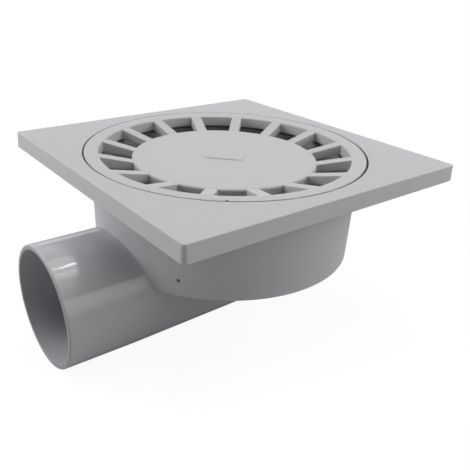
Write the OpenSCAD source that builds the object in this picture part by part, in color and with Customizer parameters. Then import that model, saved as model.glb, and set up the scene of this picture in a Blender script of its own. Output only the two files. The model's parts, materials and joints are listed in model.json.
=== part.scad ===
// Floor gully trap: a square frame with a round tank under it, a side outlet,
// a loose bell that makes the water seal, and a dished lift-out grate.
// The seat plane under the frame is z = 0, the tank's axis is the Z axis,
// and the outlet leaves towards -X.

/* [Frame] */
// Side of the square frame, at its seat
frame_side = 200; // [195:1:220]
// Height of the frame, from its seat to its top face
frame_height = 10; // [10:0.5:14]
// How much narrower the frame is at its top face, on each side
frame_draft = 0.5; // [0:0.1:1]
// Radius of the frame's upright corners, at its seat
corner_radius = 2.8; // [1.2:0.1:8]
// Thickness of the frame's top, its skirt and the ring round the grate
frame_wall = 3; // [2:0.5:4]
// Number of ribs under the frame
rib_count = 16; // [8:4:32]
// Thickness of one rib
rib_width = 2; // [1.5:0.5:3]

/* [Tank] */
// Outer radius of the tank where it meets the frame
tank_radius = 84.5; // [83.5:0.5:85]
// Depth of the tank below the seat plane
tank_depth = 52.5; // [45:0.5:60]
// How much narrower the tank is at its floor, on the radius
tank_draft = 1; // [0:0.5:2]
// Thickness of the moulded walls and floor
wall = 3; // [2.5:0.5:4]

/* [Outlet] */
// Outer radius of the spigot, the outlet's straight end that a pipe socket slides over
outlet_radius = 37.5; // [36:0.5:38]
// Length of the spigot
spigot_length = 44; // [30:1:44]
// Outer radius of the round heel under the riser, which the outlet narrows to
heel_radius = 36; // [34.5:0.5:37.5]
// Depth of the outlet's axis below the seat plane
outlet_drop = 65; // [60:0.5:75]
// Distance from the tank's axis to the outlet's mouth
outlet_reach = 129; // [129:1:160]
// Chamfer on the mouth's outer edge
mouth_chamfer = 0.8; // [0.3:0.1:1.5]

/* [Riser and bell] */
// Outer radius of the riser, the overflow tube in the tank's centre
riser_radius = 31; // [26:0.5:33]
// Depth of the riser's lip below the seat plane
riser_drop = 6.5; // [6:0.5:10]
// Outer radius of the bell
bell_radius = 44; // [42:0.5:50]
// Height of the bell's top above the seat plane
bell_top = 1.5; // [0.5:0.5:1.5]
// Depth of the bell's rim below the seat plane
bell_drop = 23.5; // [18:0.5:24]
// Thickness of the bell and of its four ribs
bell_wall = 2; // [1.5:0.5:2.5]

/* [Grate] */
// Number of slots
slot_count = 16; // [8:1:24]
// Gap between the grate and the frame
grate_gap = 1.2; // [0.5:0.1:1.5]
// How far the loose grate lies off the middle of its recess
grate_offset = 0.3; // [0:0.1:0.4]
// How far the loose grate is turned
grate_turn = 0.4; // [0:0.1:360]
// Radius of the grate's recess in the frame
recess_radius = 89.5; // [88:0.5:92]
// Depth of the grate's recess
recess_depth = 6.6; // [5:0.2:7]
// Radius of the closed disc in the grate's centre
disc_radius = 59; // [50:0.5:64]
// Radius at which the slots end
slot_radius = 79.5; // [72:0.5:79.5]
// Width of the rim's inner band, which falls at the same slope as the spokes
lip_width = 3.5; // [1:0.5:5]
// Depth of the disc below the frame's top face
dish_depth = 5.2; // [2.5:0.1:5.5]
// Thickness of the disc
disc_thickness = 2.8; // [2:0.1:2.8]
// Rounding of the disc's upper edge
disc_round = 1.4; // [0.5:0.1:1.6]
// Width of one spoke
spoke_width = 7.2; // [4:0.2:9]
// Depth of the spokes below the disc's face, where they meet it
spoke_depth = 5.5; // [4:0.5:7]
// How far below the disc's face the spokes would meet it
spoke_drop = 0.7; // [0.2:0.1:1]
// Depth of the ring that hangs from the grate into the tank's mouth
ring_depth = 1.2; // [0.5:0.1:2]
// Chamfer on the grate's outer edge
rim_chamfer = 0.3; // [0.2:0.1:1]
// Radius of the prising notch in the grate's outer edge
notch_radius = 1.2; // [0.8:0.1:3]
// Length of the raised plaque on the disc
plaque_length = 26; // [15:1:40]
// Width of the raised plaque on the disc
plaque_width = 14; // [10:1:20]
// Radius of the plaque's corners
plaque_corner = 3.5; // [1:0.5:5]
// Height of the plaque above the disc
plaque_height = 0.7; // [0.3:0.1:1]
// How far the plaque lies off the grate's axis
plaque_offset = 1; // [0:0.5:10]

/* [Hidden] */
$fn = 96;
light_grey = [0.78, 0.78, 0.79];
overlap = 1;            // how far a cutter runs past the face that it opens
inner_radius = tank_radius - wall;
floor_radius = inner_radius - tank_draft;
seat_height = frame_height - recess_depth;
ring_radius = recess_radius + frame_wall;
riser_bore = riser_radius - wall;
bell_chamfer = 2;
bell_play = 0.5;        // between the bell's ribs and the riser
rib_lift = 4;           // from the bell's rim up to the foot of its ribs
grate_radius = recess_radius - grate_gap;
disc_top = frame_height - dish_depth;
disc_flat = disc_radius - disc_round;
disc_wall = 2;          // the short wall that hangs from the disc's edge
fall_start = slot_radius + lip_width;
fall_slope = (dish_depth + spoke_drop) / (fall_start - disc_flat);
locating_radius = inner_radius - 0.6;   // outside of the ring in the tank's mouth
offset_turn = 200;      // the way in which the grate lies off the middle
notch_turn = 232.6;
plaque_turn = -45;

// A rectangle with round corners, as an outline
module round_rectangle(length, width, radius) {
    square([length, width - 2 * radius], center = true);
    square([length - 2 * radius, width], center = true);
    for (x = [-1, 1], y = [-1, 1])
        translate([x * (length / 2 - radius), y * (width / 2 - radius)]) circle(radius);
}

// The frame's outside: its sides and corners lean in a little towards the top
module frame_block() {
    axis = frame_side / 2 - corner_radius;
    for (x = [-1, 1], y = [-1, 1])
        translate([x * axis, y * axis, 0])
            cylinder(r1 = corner_radius, r2 = corner_radius - frame_draft, h = frame_height);
    for (turn = [0, 90])
        rotate(turn)
            rotate([90, 0, 0])
                linear_extrude(2 * axis, center = true)
                    polygon([
                        [-frame_side / 2, 0],
                        [frame_side / 2, 0],
                        [frame_side / 2 - frame_draft, frame_height],
                        [frame_draft - frame_side / 2, frame_height],
                    ]);
}

// The pockets that leave a skirt, a ring and radial ribs under the frame's top
module frame_pockets() {
    pocket_side = frame_side - 2 * frame_wall;
    translate([0, 0, -overlap])
        linear_extrude(frame_height - frame_wall + overlap)
            difference() {
                round_rectangle(pocket_side, pocket_side, corner_radius);
                circle(ring_radius);
                for (k = [0 : rib_count - 1])
                    rotate(k * 360 / rib_count)
                        translate([0, -rib_width / 2])
                            square([frame_side, rib_width]);
            }
}

// The outlet: a straight spigot, then a run that narrows to a round heel under
// the riser. An inset gives the bore, and past carries it out of the mouth.
module outlet_form(inset = 0, past = 0, chamfer = 0) {
    spigot = outlet_radius - inset;
    heel = heel_radius - inset;
    run = outlet_reach - spigot_length;
    translate([0, 0, -outlet_drop]) {
        sphere(heel);
        rotate([0, -90, 0]) {
            cylinder(r1 = heel, r2 = spigot, h = run);
            translate([0, 0, run])
                cylinder(r = spigot, h = spigot_length - chamfer + past);
            if (chamfer > 0)
                translate([0, 0, outlet_reach - chamfer])
                    cylinder(r1 = spigot, r2 = spigot - chamfer, h = chamfer);
        }
    }
}

// The water space of the tank, round the riser and over the outlet's crown
module tank_space() {
    difference() {
        translate([0, 0, wall - tank_depth])
            cylinder(r1 = floor_radius, r2 = inner_radius,
                     h = tank_depth - wall + seat_height + overlap);
        translate([0, 0, -tank_depth])
            cylinder(r = riser_radius, h = tank_depth - riser_drop);
        outlet_form();
    }
}

// Frame, tank, riser and outlet, moulded as one piece
module gully_body() {
    color(light_grey)
        difference() {
            union() {
                frame_block();
                translate([0, 0, -tank_depth])
                    cylinder(r1 = tank_radius - tank_draft, r2 = tank_radius,
                             h = tank_depth);
                outlet_form(chamfer = mouth_chamfer);
            }
            translate([0, 0, seat_height])
                cylinder(r = recess_radius, h = recess_depth + overlap);
            frame_pockets();
            tank_space();
            outlet_form(inset = wall, past = overlap);
            translate([0, 0, -outlet_drop])
                cylinder(r = riser_bore, h = outlet_drop - riser_drop + overlap);
        }
}

// One rib of the bell: it hangs down beside the riser and rests on its lip
module bell_rib() {
    translate([0, 0, -bell_wall / 2])
        linear_extrude(bell_wall)
            polygon([
                [riser_bore, -riser_drop],
                [riser_radius + bell_play, -riser_drop],
                [riser_radius + bell_play, rib_lift - bell_drop],
                [bell_radius - bell_wall / 2, rib_lift - bell_drop],
                [bell_radius - bell_wall / 2, bell_top - bell_wall / 2],
                [riser_bore, bell_top - bell_wall / 2],
            ]);
}

// The bell: an inverted cup over the riser
module bell() {
    color(light_grey)
        union() {
            rotate_extrude()
                polygon([
                    [0, bell_top],
                    [bell_radius - bell_chamfer, bell_top],
                    [bell_radius, bell_top - bell_chamfer],
                    [bell_radius, -bell_drop],
                    [bell_radius - bell_wall, -bell_drop],
                    [bell_radius - bell_wall, bell_top - bell_wall],
                    [0, bell_top - bell_wall],
                ]);
            for (turn = [45 : 90 : 315])
                rotate([90, 0, turn]) bell_rib();
        }
}

// The closed disc: its upper edge is rounded and turns down into a short wall
module disc() {
    rotate_extrude() {
        polygon([
            [0, disc_top],
            [disc_flat, disc_top],
            [disc_flat, disc_top - disc_round],
            [disc_radius, disc_top - disc_round],
            [disc_radius, disc_top - spoke_depth],
            [disc_radius - disc_wall, disc_top - spoke_depth],
            [disc_radius - disc_wall, disc_top - disc_thickness],
            [0, disc_top - disc_thickness],
        ]);
        intersection() {
            translate([disc_flat, disc_top - disc_round]) circle(disc_round);
            translate([disc_flat, disc_top - disc_round]) square(disc_round);
        }
    }
}

// The rim and the spokes as one ring: flush outside, then falling to the disc.
// A short ring hangs from it into the tank's mouth.
module rim() {
    rotate_extrude()
        polygon([
            [disc_flat, disc_top - spoke_drop],
            [fall_start, frame_height],
            [grate_radius - rim_chamfer, frame_height],
            [grate_radius, frame_height - rim_chamfer],
            [grate_radius, seat_height],
            [locating_radius, seat_height],
            [locating_radius, seat_height - ring_depth],
            [slot_radius, seat_height - ring_depth],
            [disc_radius, disc_top - spoke_depth],
            [disc_flat, disc_top - spoke_depth],
        ]);
}

// The slots: what is left of the ring between them is the spokes
module slots() {
    translate([0, 0, -frame_height])
        linear_extrude(3 * frame_height)
            difference() {
                circle(slot_radius);
                circle(disc_radius - disc_wall / 2);
                for (k = [0 : slot_count - 1])
                    rotate(k * 360 / slot_count)
                        translate([0, -spoke_width / 2])
                            square([grate_radius, spoke_width]);
            }
}

// The grate: slots leave sloping spokes between the rim and the disc
module grate() {
    color(light_grey)
        translate(grate_offset * [cos(offset_turn), sin(offset_turn), 0])
            rotate(grate_turn)
                difference() {
                    union() {
                        disc();
                        difference() {
                            rim();
                            slots();
                        }
                        rotate(plaque_turn)
                            translate([0, -plaque_offset, disc_top - overlap])
                                linear_extrude(overlap + plaque_height)
                                    round_rectangle(plaque_length, plaque_width,
                                                    plaque_corner);
                    }
                    rotate(notch_turn)
                        translate([grate_radius, 0, 0])
                            cylinder(r = notch_radius, h = 2 * frame_height);
                }
}

gully_body();
bell();
grate();
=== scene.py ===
# %% [markdown]
# # A floor gully trap in light grey plastic
# A gully trap sits in a shower or yard floor. Water runs over the square frame and
# through the slots of the grate, fills the tank, rises under a bell and leaves by the
# pipe at the side. The water that stays in the tank keeps drain air out of the room.
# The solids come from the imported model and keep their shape. This lesson gives them
# soft edges, moulded-plastic finishes, a table to stand on, light and a camera.

import json
import math

import bpy
from mathutils import Matrix, Vector


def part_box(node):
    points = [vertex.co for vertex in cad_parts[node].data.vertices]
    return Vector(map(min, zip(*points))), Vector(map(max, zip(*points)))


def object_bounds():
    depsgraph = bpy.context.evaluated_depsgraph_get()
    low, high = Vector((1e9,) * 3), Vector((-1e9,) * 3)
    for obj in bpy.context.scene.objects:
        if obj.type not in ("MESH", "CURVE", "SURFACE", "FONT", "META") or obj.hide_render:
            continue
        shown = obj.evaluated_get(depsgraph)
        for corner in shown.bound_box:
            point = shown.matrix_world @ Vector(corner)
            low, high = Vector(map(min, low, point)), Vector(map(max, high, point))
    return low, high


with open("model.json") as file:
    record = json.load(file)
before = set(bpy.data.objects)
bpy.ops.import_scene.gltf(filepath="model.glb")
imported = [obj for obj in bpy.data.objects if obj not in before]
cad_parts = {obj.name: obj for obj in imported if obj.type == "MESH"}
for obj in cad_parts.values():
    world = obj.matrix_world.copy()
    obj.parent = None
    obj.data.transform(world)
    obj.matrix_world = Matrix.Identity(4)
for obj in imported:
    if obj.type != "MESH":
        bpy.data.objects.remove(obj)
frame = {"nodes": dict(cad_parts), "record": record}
cad_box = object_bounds()
body = frame["nodes"]["gully_body"]
bell = frame["nodes"]["bell"]
grate = frame["nodes"]["grate"]
print("CAD box in mm:", [[round(1000 * v, 1) for v in corner] for corner in cad_box])

# %% [markdown]
# ## Where things are
# Most places that the lesson needs are read from the solids' own boxes and from the
# record. The frame's top face is the highest plane, the pipe is the lowest and reaches
# furthest towards -X, and the record says where the pipe's axis is and how thick the
# pipe is. The tank's radii and its floor are in neither of them, so they are written
# down further on, and have to be changed there when the tank is.

# %% Planes and radii that the finishes refer to
MM = 0.001
low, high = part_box("gully_body")
grate_low, grate_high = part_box("grate")
grate_middle = [(a + b) / 2 for a, b in zip(grate_low, grate_high)]
grate_radius = (grate_high.x - grate_low.x) / 2
outlet = next(m for m in frame["record"]["mounts"] if m["name"] == "outlet")
pipe_radius = outlet["dims"]["r_mm"] * MM
pipe_axis_z = outlet["pos_m"][2]
table_z = low.z
top_z = high.z
mouth_x = cad_box[0][0]
print("top at", round(top_z, 4), "m, table at", round(table_z, 4), "m")
print("pipe's radius", pipe_radius, "m, grate's radius", round(grate_radius, 4), "m")

# %% [markdown]
# ## Soft edges
# No moulded edge is knife sharp: each one has a radius between a tenth of a millimetre
# and one millimetre, and that thin rounding is what catches the light and makes an edge
# readable. The solids' meshes are lists of triangles that share no corners, so the
# first modifier welds the corners and the second melts flat neighbours into one face.
# Modifiers leave the mesh itself untouched.

# %% Weld the corners and melt the flat faces
SAME_CORNER = 0.01 * MM


def mend(piece, flat):
    """Joins the loose triangles of a solid into faces: flat is the angle, in degrees,
    by which two neighbours may differ and still count as one."""
    weld = piece.modifiers.new("weld corners", "WELD")
    weld.merge_threshold = SAME_CORNER
    melt = piece.modifiers.new("melt flat faces", "DECIMATE")
    melt.decimate_type = "DISSOLVE"
    melt.angle_limit = math.radians(flat)


print("corners closer than", SAME_CORNER / MM, "mm become one")

# %% [markdown]
# ## Small graphs of nodes
# Blender builds modifiers, materials and light from nodes, which are boxes with sockets
# joined by wires. Making one by hand takes three lines: make it, set it, wire it. One
# helper does all three here, and the whole lesson uses it. The second helper makes an
# empty graph for a piece's shape, with its way in and its way out.

# %% One call makes, sets and wires a node
def link_node(tree, kind, inputs=None, **settings):
    """A new node: settings are its options, inputs its sockets' values or wires."""
    made = tree.nodes.new(kind)
    for name, value in settings.items():
        setattr(made, name, value)
    for socket, value in (inputs or {}).items():
        if isinstance(value, bpy.types.NodeSocket):
            tree.links.new(value, made.inputs[socket])
        else:
            made.inputs[socket].default_value = value
    return made


def calculate(tree, operation, first, second=0.0):
    """One sum of two numbers."""
    return link_node(tree, "ShaderNodeMath", {0: first, 1: second},
                     operation=operation).outputs[0]


def shape_graph(piece, name):
    """An empty geometry graph, with the sockets where the shape enters and leaves."""
    tree = bpy.data.node_groups.new(piece.name + " " + name, "GeometryNodeTree")
    for way in ("INPUT", "OUTPUT"):
        tree.interface.new_socket("Geometry", in_out=way,
                                  socket_type="NodeSocketGeometry")
    start = tree.nodes.new("NodeGroupInput").outputs[0]
    end = tree.nodes.new("NodeGroupOutput").inputs[0]
    return tree, start, end


def use_graph(piece, label, tree):
    """Hangs the graph on the piece as a modifier."""
    piece.modifiers.new(label, "NODES").node_group = tree


print("helpers for graphs are ready")

# %% [markdown]
# ## How round is each edge
# One bevel rounds a whole piece, yet its edges differ: a slot's lip is rounder than the
# rim that has to close a gap. A bevel can read a weight from each edge, from 0 for
# sharp to 1 for the full width. Painting weights by hand would change the mesh, so a
# small geometry node graph writes them instead: it measures the angle between the two
# faces at an edge, and where the edge lies, and picks the weight from a short table.
# The angle has a sign here: edges that stand out count above zero, hollow ones below.

# %% A node graph that writes bevel weights
def share_by_reach(tree, place, rings, beyond):
    """The share of the innermost ring round the Z axis that holds the edge."""
    level = link_node(tree, "ShaderNodeVectorMath", {0: place, 1: (1, 1, 0)},
                      operation="MULTIPLY")
    reach = link_node(tree, "ShaderNodeVectorMath", {0: level.outputs[0]},
                      operation="LENGTH").outputs["Value"]
    share = calculate(tree, "ADD", beyond)
    for within, value in reversed(rings):
        share = link_node(tree, "GeometryNodeSwitch",
                          {0: calculate(tree, "LESS_THAN", reach, within),
                           1: share, 2: value}, input_type="FLOAT").outputs[0]
    return share


def weigh_edges(piece, rings, beyond, least_angle, hollow_below):
    """Writes each edge's share of the bevel's width. The rings are (radius in metres,
    share), innermost first, and beyond is the share outside them. Edges count when they
    stand out by more than least_angle, and hollow ones when they also lie below the
    height hollow_below."""
    tree, start, end = shape_graph(piece, "edge weights")
    place = tree.nodes.new("GeometryNodeInputPosition").outputs[0]
    angle = tree.nodes.new("GeometryNodeInputMeshEdgeAngle").outputs["Signed Angle"]
    limit = math.radians(least_angle)
    height = link_node(tree, "ShaderNodeSeparateXYZ", {0: place}).outputs["Z"]
    stands_out = calculate(tree, "GREATER_THAN", angle, limit)
    hollow = calculate(tree, "MULTIPLY", calculate(tree, "LESS_THAN", angle, -limit),
                       calculate(tree, "LESS_THAN", height, hollow_below))
    counts = calculate(tree, "MAXIMUM", stands_out, hollow)
    weight = calculate(tree, "MULTIPLY", counts,
                       share_by_reach(tree, place, rings, beyond))
    store = link_node(tree, "GeometryNodeStoreNamedAttribute",
                      {"Geometry": start, "Name": "bevel_weight_edge"},
                      data_type="FLOAT", domain="EDGE")
    value = next(s for s in store.inputs if s.name == "Value" and s.enabled)
    tree.links.new(weight, value)
    tree.links.new(store.outputs[0], end)
    use_graph(piece, "weigh the edges", tree)


print("edge weights are ready")

# %% [markdown]
# ## Smooth faces, crisp creases
# A pipe drawn with flat strips shines like a pipe only if its faces are shaded smooth,
# and the shading must not smear round a right angle. So a second, smaller graph shades
# every face smooth and marks the edges that still turn by more than fifty degrees as
# sharp. It runs after the rounding, when the only such edges left are hollow corners.

# %% A node graph that shades smooth and marks creases
CREASE_ANGLE = 50


def mark_creases(piece):
    """Shades all faces smooth and marks the edges that turn too far as sharp."""
    tree, start, end = shape_graph(piece, "creases")
    angle = tree.nodes.new("GeometryNodeInputMeshEdgeAngle").outputs["Unsigned Angle"]
    turns = calculate(tree, "GREATER_THAN", angle, math.radians(CREASE_ANGLE))
    smooth = link_node(tree, "GeometryNodeSetShadeSmooth",
                       {"Geometry": start, "Shade Smooth": True}, domain="FACE")
    crease = link_node(tree, "GeometryNodeSetShadeSmooth",
                       {"Geometry": smooth.outputs[0], "Selection": turns,
                        "Shade Smooth": False}, domain="EDGE")
    tree.links.new(crease.outputs[0], end)
    use_graph(piece, "mark the creases", tree)


print("edges that turn by more than", CREASE_ANGLE, "degrees stay creases")

# %% [markdown]
# ## Round the edges
# The bevel works on clean faces. It could limit itself by angle, but then every edge
# would get the same width. Limited by weight it reads what the graph wrote. Two
# segments are enough for a rounding this small. The arc at outer corners keeps the
# strips from crossing where three edges meet. Last come weighted normals: each corner
# takes its shading from the largest face that meets there, so a flat face stays flat up
# to its rim and a pipe stays a clean cylinder up to its mouth.

# %% Round the edges by their weights
def soften(piece, width, rings=(), beyond=1.0, flat=0.5, least_angle=32,
           hollow_below=-1.0):
    """Rounds the piece's sharp edges with modifiers. Nothing lies a metre down, so
    hollow edges stay as they are unless hollow_below says otherwise."""
    mend(piece, flat)
    weigh_edges(piece, rings, beyond, least_angle, hollow_below)
    rounding = piece.modifiers.new("round the edges", "BEVEL")
    rounding.width = width
    rounding.segments = 2
    rounding.limit_method = "WEIGHT"
    rounding.use_clamp_overlap = False
    rounding.miter_outer = "MITER_ARC"
    rounding.loop_slide = False
    mark_creases(piece)
    even = piece.modifiers.new("even the shading", "WEIGHTED_NORMAL")
    even.mode, even.weight, even.keep_sharp = "FACE_AREA", 100, True
    print(piece.name, "rounded by", round(width / MM, 2), "mm, in",
          len(piece.modifiers), "modifiers")


# under the frame, hollow edges are filled a little too, as moulded creases are
soften(body, 0.45 * MM, hollow_below=-1 * MM)
# the plaque is crisper than the slots, and the rim crispest, so its gap stays narrow
soften(grate, 0.55 * MM, rings=[(25 * MM, 0.45), (84 * MM, 1.0)], beyond=0.3,
       flat=1.5, least_angle=50)
# the bell's ribs end in this ring, too close to its lower chamfer for a rounding
soften(bell, 0.4 * MM, rings=[(42.4 * MM, 1.0), (43.4 * MM, 0.0)])

# %% [markdown]
# ## A helper for materials
# A material is a small graph of shader nodes. Their kinds all start with the same word,
# so a short form of the helper adds it, and each material further down reads as a list
# of what it is made of. All three pieces end in the same hard plastic, which mirrors as
# much light as such plastics do: the index of refraction says how much.

# %% Nodes for materials
def add(tree, kind, inputs=None, **settings):
    """A new shader node."""
    return link_node(tree, "ShaderNode" + kind, inputs, **settings)


def new_material(name):
    """An empty node material and its tree."""
    material = bpy.data.materials.new(name)
    material.use_nodes = True
    material.node_tree.nodes.clear()
    return material, material.node_tree


def wear(piece, material):
    """Puts one material on the whole piece."""
    piece.data.materials.clear()
    piece.data.materials.append(material)
    print(material.name, "on", piece.name, "with",
          len(material.node_tree.nodes), "nodes")


PLASTIC_IOR = 1.5


def mould(tree, tone, rough, relief):
    """Ends a graph as hard plastic: what it is coloured, how rough, and its relief."""
    shader = add(tree, "BsdfPrincipled", {"Base Color": tone, "Roughness": rough,
                                          "Normal": relief, "IOR": PLASTIC_IOR})
    add(tree, "OutputMaterial", {"Surface": shader.outputs["BSDF"]})


print("hard plastic bends light by", PLASTIC_IOR)

# %% [markdown]
# ## Colours as they are read off a swatch
# A colour picked from a screen or a swatch card is stored on a curve that suits the
# eye. A shader calculates with amounts of light, where half as much really is half.
# Typing the swatch's numbers straight into a shader gives a washed-out plastic, so one
# small function straightens the curve first. Light itself is written as an amount.

# %% Colours as they are read off a swatch
def paint(red, green, blue):
    """A screen colour, 0 to 255, as the linear colour that a shader takes."""
    def linear(value):
        value = value / 255
        return value / 12.92 if value <= 0.04045 else ((value + 0.055) / 1.055) ** 2.4
    return (linear(red), linear(green), linear(blue), 1.0)


def grey(value):
    """A grey as an amount of light, from 0 to 1."""
    return (value, value, value, 1)


print("a swatch of 128 in 255 reflects", round(paint(128, 128, 128)[1], 3))

# %% [markdown]
# ## Where on the piece are we
# The body is one moulding, so it has one material, yet its parts are finished apart:
# leather grain on the frame, satin on the tank, gloss on the pipe. The steel mould was
# etched in some places and polished in others. A material can do the same with masks:
# numbers from 0 to 1 that are worked out from the place of each point. The object's own
# coordinates are metres here, so every mask is written in real sizes.

# %% Masks from places
def ramp(tree, value, start, end):
    """0 below start, 1 beyond end, and a smooth change between them."""
    return add(tree, "MapRange", {"Value": value, "From Min": start, "From Max": end},
               interpolation_type="SMOOTHSTEP").outputs["Result"]


def below(tree, value, start, end):
    """The other way round: 1 below start and 0 beyond end."""
    return calculate(tree, "SUBTRACT", 1.0, ramp(tree, value, start, end))


def both(tree, *masks):
    """1 only where every mask is 1."""
    product = masks[0]
    for mask in masks[1:]:
        product = calculate(tree, "MULTIPLY", product, mask)
    return product


def mix_numbers(tree, mask, low_value, high_value):
    """low_value where the mask is 0, high_value where it is 1."""
    return add(tree, "Mix", {"Factor": mask, "A": low_value, "B": high_value},
               data_type="FLOAT").outputs[0]


def mix_colours(tree, mask, low_colour, high_colour):
    """The same for colours."""
    return add(tree, "Mix", {0: mask, 6: low_colour, 7: high_colour},
               data_type="RGBA").outputs[2]


def distance_to(tree, place, centre, along=(1, 1, 1)):
    """How far each point is from a centre, counting only the directions in along."""
    gap = add(tree, "VectorMath", {0: place, 1: centre}, operation="SUBTRACT")
    kept = add(tree, "VectorMath", {0: gap.outputs[0], 1: along}, operation="MULTIPLY")
    return add(tree, "VectorMath", {0: kept.outputs[0]},
               operation="LENGTH").outputs["Value"]


print("masks run from 0 to 1 and are worked out in metres")

# %% [markdown]
# ## Grain, satin and waves
# Three kinds of relief are too fine to model as geometry, so they go into bump nodes:
# leather grain, whose pebbles are about a millimetre and a half across; satin, the
# tooth of a blasted mould, which is finer than the eye resolves and only scatters the
# light; and the slow waves of a thick wall that shrank as it cooled, which is why a
# glossy pipe shows wobbly highlights. The leather comes first: domes that are bent out
# of their even rows, with a coarser unevenness over them.

# %% Leather grain
# how many fit in a metre
PEBBLES, LUMPS, BENDS = 650.0, 330.0, 420.0
BEND_BY = 1.2 * MM
DOME_SHARE, LUMP_SHARE = 0.6, 0.8


def noise(tree, place, per_metre, detail, **more):
    """A cloudy texture with so many lumps in a metre."""
    return add(tree, "TexNoise", {"Vector": place, "Scale": per_metre,
                                  "Detail": detail, **more}).outputs


def leather_height(tree, place):
    """Pebbles and the creases between them."""
    bent = noise(tree, place, BENDS, 2.0)["Color"]
    shift = add(tree, "VectorMath", {0: bent, 1: (0.5, 0.5, 0.5)}, operation="SUBTRACT")
    wander = add(tree, "VectorMath", {0: shift.outputs[0], "Scale": BEND_BY},
                 operation="SCALE")
    place = add(tree, "VectorMath", {0: place, 1: wander.outputs[0]}).outputs[0]
    pebbles = add(tree, "TexVoronoi", {"Vector": place, "Scale": PEBBLES,
                                       "Smoothness": 0.6}, feature="SMOOTH_F1")
    domes = calculate(tree, "SUBTRACT", 1.0, pebbles.outputs["Distance"])
    lumps = noise(tree, place, LUMPS, 3.0, Roughness=0.55)[0]
    return calculate(tree, "ADD", calculate(tree, "MULTIPLY", domes, DOME_SHARE),
                     calculate(tree, "MULTIPLY", lumps, LUMP_SHARE))


print("a pebble is about", round(1000 / PEBBLES, 1), "mm across")

# %% [markdown]
# ## How relief is stacked
# A bump node takes a height and tilts the shading as if the face had it. Its Normal
# input takes the result of another bump node, so several reliefs lie on top of each
# other. Depths are in metres, like all else. The grain's is more than a real mould's:
# it was raised until the pebbles showed from where the camera stands.

# %% Satin, waves and bumps
SATIN_TOOTH, WAVES = 2600.0, 75.0


def satin_height(tree, place):
    """The tooth of a blasted mould."""
    return noise(tree, place, SATIN_TOOTH, 2.0)[0]


def wave_height(tree, place):
    """Slow waves, a centimetre or two long."""
    return noise(tree, place, WAVES, 1.5, Roughness=0.4)[0]


def bump(tree, height, depth, strength, **under):
    """Relief of this depth, on top of the relief that is given as Normal."""
    return add(tree, "Bump", {"Height": height, "Distance": depth,
                              "Strength": strength, **under}).outputs[0]


print("a wave is about", round(1000 / WAVES), "mm long")

# %% [markdown]
# ## The regions of the body
# A region is where several masks overlap. The frame lies over its seat plane, which is
# z = 0, and its top face is grained where it is level. The pipe is found by its
# distance from its own axis. That axis runs on through the tank, so the pipe's mask has
# to end before the tank's far wall, and it keeps off the tank's outer wall too. The
# water space is inside the tank's wall and over its floor. The ledge carries the grate
# and shows at the bottom of the gap round it. Its limit lies between the grate's edge
# and the recess's wall, so the wall itself keeps the frame's colour.

# %% Limits of the regions, as the start and the end of a soft step
# heights
TOP_FACE = (top_z - 0.6 * MM, top_z - 0.2 * MM)
UNDER_TOP = (top_z - 1.6 * MM, top_z - 0.3 * MM)
FRAME_SEAT = (0.0, 0.2 * MM)
LEDGE_FOOT = (0.2 * MM, 0.6 * MM)
TANK_FLOOR = (-51.5 * MM, -50.5 * MM)
UNDER_TANK = (-54.0 * MM, -52.5 * MM)
# distances from the tank's axis, and from the pipe's
TANK_WALL = (82.0 * MM, 83.0 * MM)
CLEAR_OF_TANK = (85.2 * MM, 87.0 * MM)
LEDGE = (grate_radius + 0.6 * MM, grate_radius + 0.9 * MM)
PIPE_SKIN = (pipe_radius + 0.4 * MM, pipe_radius + 1.2 * MM)
PIPE_BORE = (pipe_radius - 2.6 * MM, pipe_radius - 2.0 * MM)
# places along X: the pipe's mouth, and the room behind its heel
MOUTH = (mouth_x + 0.1 * MM, mouth_x + 0.8 * MM)
HEEL = (50 * MM, 60 * MM)
# how level a face is, and how far the fleck reaches
LEVEL = (0.75, 0.95)
FLECK = (0.7 * MM, 1.7 * MM)
print("the ledge's grey ends", round(LEDGE[1] / MM, 1), "mm from the axis")

# %% [markdown]
# ## From limits to masks
# Most regions are now a product of soft steps, one for each limit. The function
# returns the masks by name, so that the roughness and the colour further down can be
# plain lists of regions and values.

# %% The body's masks
FLECK_PLACE = (-68.2 * MM, -49.4 * MM, -42.4 * MM)
# how much of the inside's painted shade the bore gets
BORE_SHADE_SHARE = 0.3


def body_regions(tree, place):
    """The body's masks by name."""
    x, _, z = add(tree, "SeparateXYZ", {0: place}).outputs
    normal = add(tree, "NewGeometry").outputs["Normal"]
    upward = add(tree, "SeparateXYZ", {0: normal}).outputs["Z"]
    reach = distance_to(tree, place, (0, 0, 0), (1, 1, 0))
    from_pipe = distance_to(tree, place, (0, 0, pipe_axis_z), (0, 1, 1))
    outlet_side = below(tree, x, *HEEL)
    clear = calculate(tree, "MAXIMUM", below(tree, z, *UNDER_TANK),
                      ramp(tree, reach, *CLEAR_OF_TANK))
    bore = both(tree, below(tree, from_pipe, *PIPE_BORE), outlet_side)
    water = both(tree, below(tree, reach, *TANK_WALL), ramp(tree, z, *TANK_FLOOR))
    faint_bore_shade = calculate(tree, "MULTIPLY", bore, BORE_SHADE_SHARE)
    return {
        "frame": ramp(tree, z, *FRAME_SEAT),
        "top": both(tree, ramp(tree, z, *TOP_FACE), ramp(tree, upward, *LEVEL)),
        "pipe": both(tree, below(tree, from_pipe, *PIPE_SKIN), outlet_side, clear),
        "bore": bore,
        # the pipe's end face: satin, and greyed darker as painted shade
        "mouth": below(tree, x, *MOUTH),
        # painted shade: the tank's inside and part of the bore are greyed darker
        "inside": calculate(tree, "MAXIMUM", water, faint_bore_shade),
        # painted shade: the ledge is greyed dark where it shows at the bottom of the gap
        "ledge": both(tree, below(tree, reach, *LEDGE), ramp(tree, z, *LEDGE_FOOT),
                      below(tree, z, *UNDER_TOP)),
        "fleck": below(tree, distance_to(tree, place, FLECK_PLACE), *FLECK),
    }


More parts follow.
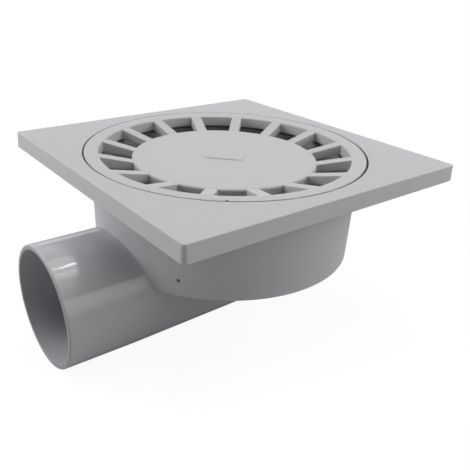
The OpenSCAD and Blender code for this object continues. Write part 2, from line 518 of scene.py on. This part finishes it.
print("the bore counts as", BORE_SHADE_SHARE, "of the tank's inside")

# %% [markdown]
# ## The body's relief
# The pipe came from a polished mould: it has the slow waves in full and hardly any
# satin. The frame's top has the leather grain in full, and its skirts a trace of it.

# %% The body's relief
SKIRT_GRAIN = 0.15


def body_relief(tree, place, regions):
    """Waves, then satin, then leather grain, each on top of the one before."""
    waves = bump(tree, wave_height(tree, place), 0.25 * MM,
                 mix_numbers(tree, regions["pipe"], 0.15, 1.0))
    tooth = bump(tree, satin_height(tree, place), 0.01 * MM,
                 mix_numbers(tree, regions["pipe"], 0.6, 0.1), Normal=waves)
    faint = calculate(tree, "MULTIPLY", regions["frame"], SKIRT_GRAIN)
    return bump(tree, leather_height(tree, place), 0.45 * MM,
                mix_numbers(tree, regions["top"], faint, 1.0), Normal=tooth)


print("the skirts have", SKIRT_GRAIN, "of the top's grain")

# %% [markdown]
# ## The body's plastic
# PVC of one light grey, a touch bluer than neutral. Its finish is what changes: the
# frame's top face is nearly matt, the skirts and the tank are satin, and the pipe is
# smooth and glossy, because a solvent weld wants a clean tight face. A flow of plastic
# is never quite even, so the colour drifts by a part or two in a hundred over a few
# centimetres, and there is one dark fleck in the tank's wall, a scorched crumb that
# came through the nozzle.
# A moulding like this is of one colour. Evenly lit, though, its deep and narrow places
# came out too pale, so the tank's inside, the bore, the ledge under the gap and the
# pipe's end face get a darker grey. That grey is painted shade, not a pigment.

# %% The body's finish
SATIN = 0.38
BODY_ROUGHNESS = [("pipe", 0.11), ("bore", 0.50), ("mouth", SATIN), ("top", 0.52)]
BODY_GREYS = [(199, 196, 201), (203, 200, 205)]
# painted shade for the gap round the grate, on the body's ledge and the grate's outer wall
GAP_SHADE_GREY = (110, 108, 112)
# the frame's and the fleck's greys are the plastic's own; the inside, the ledge and the
# mouth get darker greys as painted shade
REGION_GREYS_AND_SHADES = [
    ("frame", (200, 199, 202)),
    ("inside", (172, 169, 175)),
    ("ledge", GAP_SHADE_GREY),
    ("mouth", (170, 167, 173)),
    ("fleck", (78, 70, 64)),
]
CLOUD_DRIFT = 0.06


def body_plastic():
    material, tree = new_material("body plastic")
    place = add(tree, "TexCoord").outputs["Object"]
    regions = body_regions(tree, place)
    cloud = noise(tree, place, 45.0, 3.0)[0]
    rough = SATIN
    for region, value in BODY_ROUGHNESS:
        rough = mix_numbers(tree, regions[region], rough, value)
    uneven = calculate(tree, "SUBTRACT", cloud, 0.5)
    rough = calculate(tree, "ADD", rough,
                      calculate(tree, "MULTIPLY", uneven, CLOUD_DRIFT))
    tone = mix_colours(tree, cloud, *(paint(*swatch) for swatch in BODY_GREYS))
    for region, swatch in REGION_GREYS_AND_SHADES:
        tone = mix_colours(tree, regions[region], tone, paint(*swatch))
    mould(tree, tone, rough, body_relief(tree, place, regions))
    return material


wear(body, body_plastic())

# %% [markdown]
# ## The grate's plastic
# The grate comes out of its own mould, which was blasted and not etched: it is matt and
# even, without pebbles. Bare feet and brushes polish the raised parts first, so the rim
# is a shade smoother than the disc that lies lower. Its outer wall, which is one side
# of the gap, gets the same painted shade as the ledge: a dark grey in its colour.

# %% The grate's finish
WORN = (grate_high.z - 4 * MM, grate_high.z)
OUTER_WALL = (grate_radius - 0.6 * MM, grate_radius - 0.3 * MM)
UNDER_RIM = (grate_high.z - 1.6 * MM, grate_high.z - 0.3 * MM)
DISC_ROUGHNESS, RIM_ROUGHNESS = 0.52, 0.46


def grate_plastic():
    material, tree = new_material("grate plastic")
    place = add(tree, "TexCoord").outputs["Object"]
    z = add(tree, "SeparateXYZ", {0: place}).outputs["Z"]
    reach = distance_to(tree, place, grate_middle, (1, 1, 0))
    worn = ramp(tree, z, *WORN)
    outer = both(tree, ramp(tree, reach, *OUTER_WALL), below(tree, z, *UNDER_RIM))
    cloud = noise(tree, place, 60.0, 3.0)[0]
    rough = calculate(tree, "ADD",
                      mix_numbers(tree, worn, DISC_ROUGHNESS, RIM_ROUGHNESS),
                      calculate(tree, "MULTIPLY", cloud, 0.05))
    tone = mix_colours(tree, cloud, paint(201, 201, 204), paint(205, 204, 207))
    tone = mix_colours(tree, worn, tone, paint(200, 199, 203))
    # painted shade: the outer wall on the gap's side is greyed dark
    tone = mix_colours(tree, outer, tone, paint(*GAP_SHADE_GREY))
    waves = bump(tree, wave_height(tree, place), 0.1 * MM, 0.2)
    tooth = bump(tree, satin_height(tree, place), 0.015 * MM, 0.8, Normal=waves)
    mould(tree, tone, rough, tooth)
    return material


wear(grate, grate_plastic())

# %% [markdown]
# ## The bell's plastic
# The bell stays under water and nobody sees it, so its mould has a plain machined
# finish: satin, with the fine rings that the cutter left on its round top.

# %% The bell's finish
RING_PITCH = 0.6 * MM


def bell_plastic():
    material, tree = new_material("bell plastic")
    place = add(tree, "TexCoord").outputs["Object"]
    reach = distance_to(tree, place, (0, 0, 0), (1, 1, 0))
    turns = calculate(tree, "MULTIPLY", reach, 2 * math.pi / RING_PITCH)
    rings = bump(tree, calculate(tree, "SINE", turns), 0.004 * MM, 0.5)
    cloud = noise(tree, place, 80.0, 3.0)[0]
    tone = mix_colours(tree, cloud, paint(194, 194, 197), paint(200, 200, 203))
    mould(tree, tone, mix_numbers(tree, cloud, 0.38, 0.48), rings)
    return material


wear(bell, bell_plastic())

# %% [markdown]
# ## White surroundings
# A piece like this is shown on pure white. More lamps would bleach the plastic long
# before the table turned white, so the trick is to answer different rays differently. A
# ray from the camera finds white. A ray that gathers light for a surface finds an
# ordinary pale grey table and nothing beyond it, so the light on the object depends on
# the lamps and the table alone. A mirrored ray finds white beyond the table, and on the
# table a pale grey with the object's own shadow, as a glossy pipe should show it.

# %% Which ray is it
def any_ray(tree, *kinds):
    """1 for a ray of one of these kinds, 0 for every other ray."""
    path = add(tree, "LightPath").outputs
    found = path[kinds[0]]
    for kind in kinds[1:]:
        found = calculate(tree, "MAXIMUM", found, path[kind])
    return found


print("rays are told apart by their kind")

# %% [markdown]
# ## The table
# The trap stands on the lowest point of its pipe, so the table is a plane at that
# height. What the eye sees of it is mostly its own glow. Near the object a little plain
# diffuse takes the place of some glow: that part goes dark under the object, so the
# shadow stays, and it fades out further off, where the table has to be pure white.
# Light bounced up from it fills the underside, as it would from paper.

# %% The table
TABLE_HALF = 4.0
SHADOW_FADES = (0.12, 0.34)
NEAR_ANSWER, NEAR_GLOW = 0.12, 0.93
TABLE_GREY, MIRRORED_GREY = 0.55, 0.8


def table_look():
    material, tree = new_material("white table")
    place = add(tree, "TexCoord").outputs["Object"]
    reach = distance_to(tree, place, (0, 0, table_z), (1, 1, 0))
    away = ramp(tree, reach, *SHADOW_FADES)
    answer = mix_colours(tree, away, grey(NEAR_ANSWER), grey(0))
    glow = mix_colours(tree, away, grey(NEAR_GLOW), grey(1))
    seen = add(tree, "AddShader", {
        0: add(tree, "BsdfDiffuse", {"Color": answer}).outputs[0],
        1: add(tree, "Emission", {"Color": glow, "Strength": 1.0}).outputs[0]})
    felt = add(tree, "BsdfDiffuse", {
        "Color": mix_colours(tree, any_ray(tree, "Is Glossy Ray"), grey(TABLE_GREY),
                             grey(MIRRORED_GREY))})
    looked_at = any_ray(tree, "Is Camera Ray", "Is Transmission Ray")
    either = add(tree, "MixShader", {0: looked_at, 1: felt.outputs[0],
                                     2: seen.outputs[0]})
    add(tree, "OutputMaterial", {"Surface": either.outputs[0]})
    return material


def make_table():
    mesh = bpy.data.meshes.new("table")
    corners = [(-1, -1), (1, -1), (1, 1), (-1, 1)]
    mesh.from_pydata([(x * TABLE_HALF, y * TABLE_HALF, table_z) for x, y in corners],
                     [], [(0, 1, 2, 3)])
    table = bpy.data.objects.new("table", mesh)
    bpy.context.scene.collection.objects.link(table)
    wear(table, table_look())


make_table()

# %% [markdown]
# ## The air around
# Past the table's edge there is only the world. It is white to look at and gives no
# light of its own, because light from everywhere would wipe out the soft shading that
# makes a light grey piece readable.

# %% The world
def make_world():
    world = bpy.data.worlds.new("studio air")
    bpy.context.scene.world = world
    world.use_nodes = True
    tree = world.node_tree
    tree.nodes.clear()
    felt = add(tree, "Background", {"Color": grey(1), "Strength": 0.0})
    seen = add(tree, "Background", {"Color": grey(1), "Strength": 1.0})
    in_sight = any_ray(tree, "Is Glossy Ray", "Is Transmission Ray", "Is Camera Ray")
    either = add(tree, "MixShader", {0: in_sight, 1: felt.outputs[0],
                                     2: seen.outputs[0]})
    add(tree, "OutputWorld", {"Surface": either.outputs[0]})
    print("world:", world.name, "with", len(tree.nodes), "nodes")


make_world()

# %% [markdown]
# ## The camera
# The camera stands low over one corner of the frame, so that both skirts, the grate's
# dish and the pipe's mouth show. Its direction is written as two angles and a small
# roll, from which its three axes follow: one that points back, one to the right and one
# up. The lens is of about normal length, and the shift centres the view without
# turning the camera.

# %% The camera
# angles in degrees; sensor and lens in mm; shifts in parts of the image's width
CAMERA_TURN, CAMERA_RISE, CAMERA_ROLL = -36.64, 26.07, 1.79
CAMERA_PLACE = (-224.79 * MM, -280.97 * MM, 122.60 * MM)
SENSOR, LENS = 36, 44.678
SHIFT = (0.0701, 0.0019)
NEAREST, FURTHEST = 0.01, 20


def direction(turn, rise):
    """An arrow away from the tank: turn and rise are degrees, turn counts round the Z
    axis from -Y, and rise up from level."""
    turn, rise = math.radians(turn), math.radians(rise)
    return Vector((math.sin(turn) * math.cos(rise),
                   -math.cos(turn) * math.cos(rise), math.sin(rise)))


def make_camera():
    camera = bpy.data.cameras.new("camera")
    holder = bpy.data.objects.new("camera", camera)
    bpy.context.scene.collection.objects.link(holder)
    back = direction(CAMERA_TURN, CAMERA_RISE)
    right = (-back).cross(Vector((0, 0, 1))).normalized()
    up = right.cross(-back)
    roll = math.radians(CAMERA_ROLL)
    right, up = (right * math.cos(roll) + up * math.sin(roll),
                 up * math.cos(roll) - right * math.sin(roll))
    turn = Matrix((right, up, back)).transposed().to_4x4()
    holder.matrix_world = Matrix.Translation(Vector(CAMERA_PLACE)) @ turn
    camera.sensor_width, camera.lens = SENSOR, LENS
    camera.shift_x, camera.shift_y = SHIFT
    camera.clip_start, camera.clip_end = NEAREST, FURTHEST
    bpy.context.scene.camera = holder


make_camera()
bpy.context.scene.view_settings.view_transform = "Standard"
print("camera at", [round(v, 3) for v in CAMERA_PLACE], "m, lens", LENS, "mm")

# %% [markdown]
# ## Lamps
# Large lamps near the object give soft shadows, as a light tent does. Each is an area
# lamp: its size sets how soft it is, its power how bright. The one above lights the
# grate, the ones on the left and the right tell the two skirts of the frame apart, and
# a weak one low behind lights what faces away from the camera. They are placed by
# angles, with the turn counted from the camera's side. Two small hard lamps high up do
# one thing only, which is the sharp shine near the pipe's mouth. Every lamp turns to
# face its target, which a quaternion does in one step.

# %% Lamps
TANK_MIDDLE = Vector((-0.010, 0.000, -0.030))
PIPE_END = Vector((-0.120, -0.015, -0.030))
SOFT_LAMPS = [  # name, turn and rise in degrees, distance and size in m, power in W
    ("top", 0, 90, 1.1, (0.9, 0.9), 5.05),
    ("top_right", 80, 60, 1.1, (0.6, 0.6), 0.818),
    ("left", -90, 25, 1.0, (0.6, 0.6), 5.461),
    ("front", 0, 25, 1.0, (0.6, 0.6), 0.108),
    ("right_front", 50, 25, 1.0, (0.6, 0.6), 0.984),
    ("right", 90, 25, 1.0, (0.6, 0.6), 3.139),
    ("back_low", 170, 20, 0.8, (0.5, 0.4), 0.169),
]


def hang_lamp(name, place, target, size, power):
    lamp = bpy.data.lights.new(name, "AREA")
    lamp.shape = "RECTANGLE"
    lamp.size, lamp.size_y = size
    lamp.energy = power
    holder = bpy.data.objects.new(name, lamp)
    holder.location = place
    holder.rotation_mode = "QUATERNION"
    holder.rotation_quaternion = (target - place).to_track_quat("-Z", "Y")
    bpy.context.scene.collection.objects.link(holder)


for name, turn, rise, distance, size, power in SOFT_LAMPS:
    place = TANK_MIDDLE + distance * direction(CAMERA_TURN + turn, rise)
    hang_lamp(name, place, TANK_MIDDLE, size, power)
hang_lamp("bulb", Vector((0.250, 0.050, 1.000)), PIPE_END, (0.06, 0.05), 0.20)
hang_lamp("small bulb", Vector((0.220, -0.190, 1.000)), PIPE_END, (0.03, 0.04), 0.06)
print("lamps:", len(SOFT_LAMPS), "soft ones and 2 small ones")

# %% [markdown]
# ## Sizes
# Rounding takes a little away from outer edges and fills a little in hollow ones, and
# the hollow ones all lie inside. So the finished piece must still fit the box of the
# solids that it started from.

# %% Sizes
print("the finished pieces must still fit the box of the solids")
